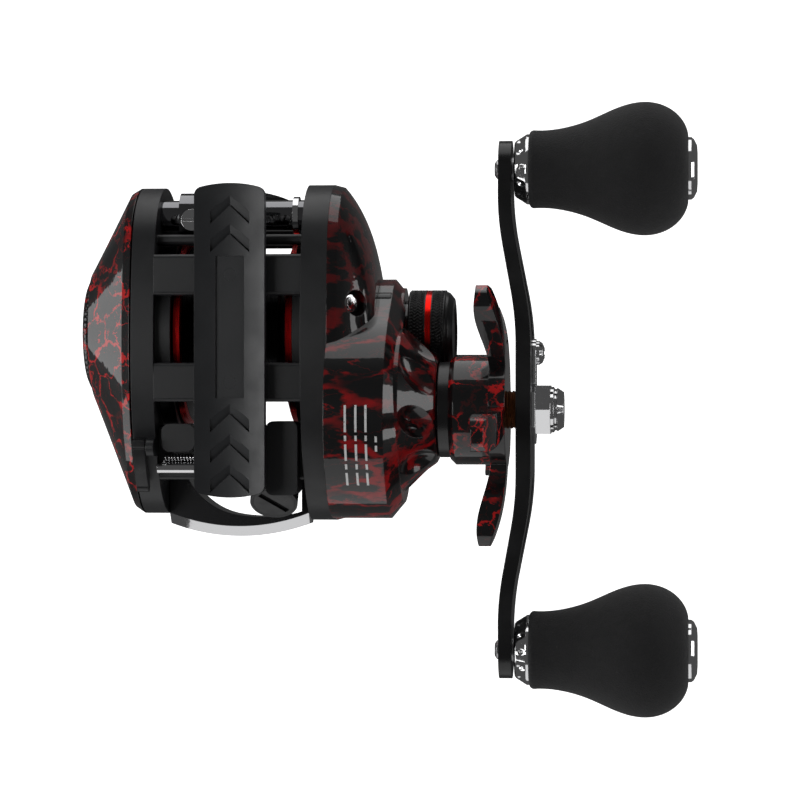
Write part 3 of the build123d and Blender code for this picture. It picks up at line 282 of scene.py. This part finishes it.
bright_red = ((0.36, 0.002, 0.003), (0.72, 0.012, 0.012))
deep_red = ((0.12, 0.001, 0.002), (0.46, 0.005, 0.007))
materials = {
    "frame_black": matte_metal("frame_black", (0.013, 0.0135, 0.015), 0.42),
    "foot_grey": matte_metal("foot_grey", (0.02, 0.021, 0.023), 0.4, 0.12),
    "black_plastic": moulded("black_plastic"),
    "dark_chrome": polished("dark_chrome", (0.22, 0.22, 0.23), 0.05),
    "chrome": polished("chrome", (0.75, 0.75, 0.76)),
    "steel": turned_metal("steel", (0.5, 0.5, 0.51)),
    "crackle_paint": crackle("crackle_paint", (1, 1, 1), 0.15, 0.046, 0.018, *bright_red, 0.72),
    "magnet": polished("magnet", (0.35, 0.35, 0.37), 0.2),
    "spool_alloy": spool_finish("spool_alloy"),
    "brass": turned_metal("brass", (0.55, 0.34, 0.12)),
    "ceramic": moulded("ceramic", (0.05, 0.05, 0.055), 0.12),
    "carbon_fibre": woven("carbon_fibre"),
    "handle_black": matte_metal("handle_black", (0.006, 0.006, 0.0065), 0.3, 0.25),
    "red_anodised": turned_metal("red_anodised", (0.8, 0.012, 0.008), 0.24),
    "eva_foam": foam("eva_foam"),
}
housing_paint = crackle("crackle_housing", (0.4, 1, 1), 0.13, 0.08, 0.045, *deep_red, 0.85, 0.3)
bronze_thread = bronze("bronze_thread")
white_ink = ink("white_ink")


def dress(piece, material):
    piece.data.materials.clear()
    piece.data.materials.append(material)


for part in frame["record"]["subparts"]:
    dress(nodes[part["node"]], materials[part["material_slot"]])
dress(nodes["handle_side_cover"], housing_paint)
dress(nodes["drive_shaft"], bronze_thread)
dress(nodes["foot_rivets"], materials["foot_grey"])
dress(nodes["oil_port_plug"], materials["black_plastic"])
dress(nodes["one_way_sleeve"], materials["dark_chrome"])
dress(nodes["thumb_bar"], chrome_rim("thumb_bar_rim"))

# ---------------------------------------------------------------- detailed pieces

axis_r = 0.01


def add_object(name, data):
    made = bpy.data.objects.new(name, data)
    bpy.context.scene.collection.objects.link(made)
    return made


def midpoint(node, axis):
    """The middle of a node's box along one axis, in millimetres."""
    low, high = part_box(node)
    return (low[axis] + high[axis]) / 2 / mm


def fill_in(profile, step):
    """Add points to an (x, radius) outline, so that they lie about a step apart on its long runs."""
    points = [profile[0]]
    for (x0, r0), (x1, r1) in zip(profile, profile[1:]):
        parts = max(1, round(sqrt((x1 - x0) ** 2 + (r1 - r0) ** 2) / step))
        points += [(x0 + (x1 - x0) * i / parts, r0 + (r1 - r0) * i / parts) for i in range(1, parts + 1)]
    return points


def smooth_by_angle(piece, degrees=35):
    piece.data.shade_smooth()
    piece.data.set_sharp_from_angle(angle=radians(degrees))


def lathe(name, profile, centre, segments, body, material, relief=None):
    """A closed turned piece about the line parallel to X through centre.

    profile lists (x, radius) pairs, and a point on the axis has the radius axis_r. relief(x, angle) is the
    depth that is taken off the surface.
    """
    verts = []
    for x, radius in profile:
        for i in range(segments):
            angle = 2 * pi * i / segments
            cut = relief(x, angle) if relief and radius > 2 * axis_r else 0.0
            r = max(axis_r, radius - cut)
            verts.append((x * mm, (centre[0] + r * cos(angle)) * mm, (centre[1] + r * sin(angle)) * mm))
    faces = []
    for ring in range(len(profile) - 1):
        for i in range(segments):
            after = (i + 1) % segments
            a, b = ring * segments, (ring + 1) * segments
            faces.append((a + i, a + after, b + after, b + i))
    faces.append(tuple(range(segments)))
    faces.append(tuple(reversed(range((len(profile) - 1) * segments, len(profile) * segments))))
    mesh = bpy.data.meshes.new(name)
    mesh.from_pydata(verts, [], faces)
    mesh.validate()
    piece = add_object(name, mesh)
    dress(piece, material)
    smooth_by_angle(piece)
    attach(piece, body)
    return piece


handle_axle = (midpoint("drive_shaft", 1), midpoint("drive_shaft", 2))
spool_axle = (midpoint("spool", 1), midpoint("spool", 2))
worm_axle = (midpoint("worm_shaft", 1), midpoint("worm_shaft", 2))


def knurled_cap():
    """The cast control cap with a wavy knurl in the two bands beside its red ring."""
    low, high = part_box("cast_control_cap")
    x0, x1 = low[0] / mm, high[0] / mm
    radius = (high[2] - low[2]) / 2 / mm
    ring_low, ring_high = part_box("cast_control_ring")
    groove0, groove1, groove_r = ring_low[0] / mm, ring_high[0] / mm, 7.6
    bore_r, chamfer, face_r, dish_r, dish = 6.46, 0.3, 5.6, 5.2, 0.35
    nose = ((1.6, 0.0), (1.45, 0.3), (0.9, 0.5), (0.0, 1.6))
    back_plain, ring_plain, front_plain = 0.45, 0.25, 1.9
    bands = ((x0 + back_plain, groove0 - ring_plain), (groove1 + ring_plain, x1 - front_plain))
    teeth, wave, sway, depth = 76, 1.25, 2.4, 0.3

    def relief(x, angle):
        for start, end in bands:
            if start <= x <= end:
                phase = teeth * angle + sway * sin(2 * pi * (x - start) / wave)
                return depth * (0.5 - 0.5 * cos(phase))
        return 0.0

    outline = [(x0, bore_r), (x0, radius - chamfer), (x0 + chamfer, radius), (groove0, radius)]
    outline += [(groove0, groove_r), (groove1, groove_r), (groove1, radius)]
    outline += [(x1 - back, radius - drop) for back, drop in nose]
    outline += [(x1, face_r), (x1 - dish, dish_r), (x1 - dish, axis_r)]
    profile = fill_in(outline, 0.11)
    black = materials["handle_black"]
    cap = lathe("cast_cap_knurled", profile, spool_axle, 8 * teeth, "cast_control", black, relief)
    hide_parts("cast_control_cap")


def grooved_worm():
    """The level-wind worm with its two crossing grooves."""
    low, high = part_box("worm_shaft")
    x0, x1 = low[0] / mm, high[0] / mm
    left_end, right_end, end_r = 1.9, 5.2, 1.0
    worm_x0, worm_x1, worm_r = x0 + left_end, x1 - right_end, (high[2] - low[2]) / 2 / mm
    pitch, half_groove, wall, depth, plain = 5.6, 0.13, 0.04, 0.55, 1.2

    def relief(x, angle):
        if not worm_x0 + plain < x < worm_x1 - plain:
            return 0.0
        turn = angle / (2 * pi)
        cut = 0.0
        for hand in (1, -1):
            offset = x / pitch + hand * turn
            distance = abs(offset - floor(offset) - 0.5)
            cut = max(cut, min(1.0, max(0.0, (half_groove - distance) / wall)))
        return depth * cut

    outline = [(x0, axis_r), (x0, end_r), (worm_x0, end_r), (worm_x0, worm_r)]
    outline += [(worm_x1, worm_r), (worm_x1, end_r), (x1, end_r), (x1, axis_r)]
    worm = lathe("worm_grooved", fill_in(outline, 0.16), worm_axle, 72, "worm", materials["steel"], relief)
    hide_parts("worm_shaft")


def dimpled_collar(end):
    """A chrome knob collar with a ring of tear-shaped dimples."""
    node = "knob_collar_" + end
    low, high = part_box(node)
    x0, x1 = low[0] / mm, high[0] / mm
    centre = (midpoint(node, 1), midpoint(node, 2))
    radius = (high[2] - low[2]) / 2 / mm
    count, depth, dimple_x = 12, 0.45, x0 + 1.35
    dimple_width, taper, dimple_length = 0.42, 0.16, 0.6
    bore_r, chamfer, rim_width, drop, face_drop = 2.06, 0.3, 0.5, 1.25, 1.6

    def relief(x, angle):
        step = 2 * pi / count
        around = ((angle + step / 2) % step - step / 2) * radius
        along = x - dimple_x
        width = dimple_width - taper * along
        return depth * exp(-((around / width) ** 2) - (along / dimple_length) ** 2)

    outline = [(x0, bore_r), (x0, radius - face_drop), (x0 + chamfer, radius - drop)]
    outline += [(x1 - rim_width, radius), (x1, radius), (x1, bore_r)]
    profile = fill_in(outline, 0.14)
    name = "knob_collar_dimpled_" + end
    collar = lathe(name, profile, centre, 240, "knob_" + end, materials["chrome"], relief)
    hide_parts(node)


def shaft_thread():
    """The thread that shows on the drive shaft between the star and the handle."""
    hidden_in_star, arm_and_plate, core = 0.6, 3.6, 0.5
    x0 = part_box("star_drag")[1][0] / mm - hidden_in_star
    x1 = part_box("handle_nut")[0][0] / mm - arm_and_plate
    shaft_r, depth, pitch, clearance = 3.42, 0.32, 0.75, 0.02
    crest_r = shaft_r + depth - clearance

    def relief(x, angle):
        offset = x / pitch - angle / (2 * pi)
        return depth * abs(2 * (offset - floor(offset)) - 1)

    outline = [(x0, shaft_r - core), (x0, crest_r), (x1, crest_r), (x1, shaft_r - core)]
    profile = fill_in(outline, 0.08)
    thread = lathe("drive_shaft_thread", profile, handle_axle, 96, "crank", bronze_thread, relief)


def print_marks():
    """Rows of plain printed dashes on the round underside of the gear housing."""
    drum_y, drum_z, drum_r = 14.2, 14.6, 20.0
    proud, half_line, gap, thickness, parts = 0.02, 0.22, 0.65, 0.04, 6
    long_y, long_row = 12.3, (5.1, 1.0, 3.1, 1.0, 2.4)
    short_y, short_row = 18.2, (1.1, 1.1)
    rows = [(row_x, long_y, long_row) for row_x in (22.5, 24.5, 26.4)] + [(28.3, short_y, short_row)]
    verts = []
    faces = []
    for row_x, y, dashes in rows:
        for dash in dashes:
            first = len(verts)
            for x in (row_x - half_line, row_x + half_line):
                for part in range(parts + 1):
                    along = y + dash * part / parts
                    z = drum_z - sqrt((drum_r + proud) ** 2 - (along - drum_y) ** 2)
                    verts.append((x * mm, along * mm, z * mm))
            step = parts + 1
            for i in range(first, first + parts):
                faces.append((i, i + step, i + step + 1, i + 1))
            y += dash + gap
    mesh = bpy.data.meshes.new("print_marks")
    mesh.from_pydata(verts, [], faces)
    marks = add_object("print_marks", mesh)
    dress(marks, white_ink)
    thick = marks.modifiers.new("thickness", "SOLIDIFY")
    thick.thickness = thickness * mm
    thick.offset = 0
    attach(marks, "frame")


def domed_dial():
    """The brake dial with a smooth domed face, a finely notched rim and its three legs."""
    low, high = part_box("brake_dial")
    dial_height, overlap = 1.9, 0.1
    seat_x, leg_x1 = low[0] / mm + dial_height, high[0] / mm
    rim_r, notches, notch_depth, notched_height = 11.3, 60, 0.16, 0.6
    legs, leg_reach, leg_r = 3, 9.0, 0.8
    rim = ((0.0, axis_r), (0.0, rim_r), (0.35, rim_r))
    dome = ((0.8, 10.9), (1.2, 10.0), (1.5, 8.4), (1.7, 6.2), (1.75, 4.6))
    hollow = ((1.5, 4.3), (1.3, 3.9), (1.3, axis_r))

    def relief(x, angle):
        notch = notch_depth * (0.5 + 0.5 * cos(notches * angle))
        return notch if x > seat_x - notched_height else 0.0

    profile = fill_in([(seat_x - rise, radius) for rise, radius in rim + dome + hollow], 0.3)
    paint = materials["crackle_paint"]
    dial = lathe("brake_dial_domed", profile, spool_axle, 8 * notches, "brake_dial", paint, relief)
    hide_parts("brake_dial")
    leg_x0 = seat_x - overlap
    leg_profile = fill_in([(leg_x0, axis_r), (leg_x0, leg_r), (leg_x1, leg_r), (leg_x1, axis_r)], 0.5)
    for leg in range(legs):
        angle = 2 * pi * leg / legs
        centre = (spool_axle[0] + leg_reach * cos(angle), spool_axle[1] + leg_reach * sin(angle))
        post = lathe(f"brake_dial_leg_{leg}", leg_profile, centre, 24, "brake_dial", paint)


def star_collar():
    """The black collar that fills the gap between the star's hub and the boss."""
    bore_r, radius, chamfer, gap, overlap = 8.4, 9.2, 0.2, 0.15, 0.1
    x0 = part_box("handle_side_cover")[1][0] / mm + gap
    x1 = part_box("star_drag")[0][0] / mm + overlap
    outline = [(x0, bore_r), (x0, radius - chamfer), (x0 + chamfer, radius), (x1, radius), (x1, bore_r)]
    collar = lathe("star_collar", fill_in(outline, 0.5), handle_axle, 144, "star", materials["handle_black"])


def return_spring():
    """The pin behind the foot and the small coil spring beside it."""
    bridge_z = 9.0
    pin_r, pin_y, pin_x0, pin_x1 = 1.1, 24.4, -15.2, 6.2
    outline = [(pin_x0, axis_r), (pin_x0, pin_r), (pin_x1, pin_r), (pin_x1, axis_r)]
    centre = (pin_y, bridge_z - pin_r)
    pin = lathe("return_pin", fill_in(outline, 0.5), centre, 48, "frame", materials["chrome"])
    coil_r, wire_r, coil_y, coil_x0, coil_x1 = 0.68, 0.17, 22.5, -14.0, -5.0
    turns, per_turn = 15, 12
    curve = bpy.data.curves.new("return_spring", "CURVE")
    curve.dimensions = "3D"
    curve.bevel_depth = wire_r * mm
    curve.bevel_resolution = 3
    curve.use_fill_caps = True
    spline = curve.splines.new("NURBS")
    count = turns * per_turn + 1
    spline.points.add(count - 1)
    for i in range(count):
        angle = 2 * pi * i / per_turn
        x = coil_x0 + (coil_x1 - coil_x0) * i / (count - 1)
        y = coil_y + coil_r * cos(angle)
        z = bridge_z - coil_r - wire_r + coil_r * sin(angle)
        spline.points[i].co = (x * mm, y * mm, z * mm, 1)
    spline.order_u = 3
    spline.use_endpoint_u = True
    spring = add_object("return_spring", curve)
    dress(spring, materials["chrome"])
    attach(spring, "frame")


knurled_cap()
grooved_worm()
domed_dial()
star_collar()
return_spring()
for end in ("front", "rear"):
    dimpled_collar(end)
shaft_thread()
print_marks()

# ---------------------------------------------------------------- camera, light and stage


def softbox(name, location, width, height, radiance):
    """A soft panel that looks at the middle of the reel."""
    light = bpy.data.lights.new(name, "AREA")
    light.shape = "RECTANGLE"
    light.size = width
    light.size_y = height
    light.energy = radiance * pi * width * height
    lamp = add_object(name, light)
    lamp.location = location
    lamp.rotation_mode = "QUATERNION"
    lamp.rotation_quaternion = (middle - lamp.location).to_track_quat("-Z", "Y")
    lamp.visible_camera = False


def stage_plane(name, z, size, color, glow):
    """A level square that also glows a little, so that it stays pale."""
    half = size / 2
    corners = [(-half, -half, z), (half, -half, z), (half, half, z), (-half, half, z)]
    mesh = bpy.data.meshes.new(name)
    mesh.from_pydata(corners, [], [(0, 1, 2, 3)])
    plane = add_object(name, mesh)
    s = Shader(name, color, 0.9)
    s.feed("Base Color", s.mix(s.noise(0.002, 2), color, tuple(0.98 * c for c in color)))
    s.set("Emission Color", (1, 1, 1, 1))
    s.set("Emission Strength", glow)
    dress(plane, s.material)
    return plane


view_width = 154.4 * mm
camera_distance = 650 * mm
swing = radians(5.2)
target = Vector((31.25, 11.35, 13.0)) * mm
middle = Vector((15.0, 5.0, 15.0)) * mm
right = Vector((cos(swing), 0, sin(swing)))
up = Vector((0, -1, 0))
back = right.cross(up)
lens = bpy.data.cameras.new("camera")
lens.lens = lens.sensor_width * camera_distance / view_width
lens.clip_start = 0.01
lens.clip_end = 10
camera = add_object("camera", lens)
camera.rotation_mode = "QUATERNION"
camera.rotation_quaternion = Matrix((right, up, back)).transposed().to_quaternion()
camera.location = target + back * camera_distance
bpy.context.scene.camera = camera

world = bpy.data.worlds.new("world")
world.use_nodes = True
sky = world.node_tree.nodes["Background"]
sky.inputs["Color"].default_value = (1, 1, 1, 1)
sky.inputs["Strength"].default_value = 0.08
bpy.context.scene.world = world

# The camera looks up at the reel's underside, so the backdrop is above the reel and the floor is
# below the camera. Neither of them shows in the polished parts.
backdrop = stage_plane("backdrop", 0.6, 1.6, (0.9, 0.9, 0.9), 1.0)
backdrop.visible_glossy = False
floor_plane = stage_plane("floor", -0.75, 6.0, (0.8, 0.8, 0.79), 0.65)
floor_plane.visible_diffuse = False
floor_plane.visible_glossy = False
softbox("panel_left", (-0.5, 0.1, 0.0), 0.46, 0.3, 1.9)
softbox("panel_front", (0.02, -0.5, 0.05), 0.6, 0.58, 1.3)
softbox("panel_rear", (0.05, 0.55, -0.06), 0.6, 0.72, 0.75)
softbox("panel_right", (0.6, 0.0, -0.02), 0.3, 0.4, 2.6)
softbox("panel_low", (-0.3, 0.0, -0.38), 0.2, 0.3, 4.2)
bpy.context.scene.view_settings.view_transform = "Standard"
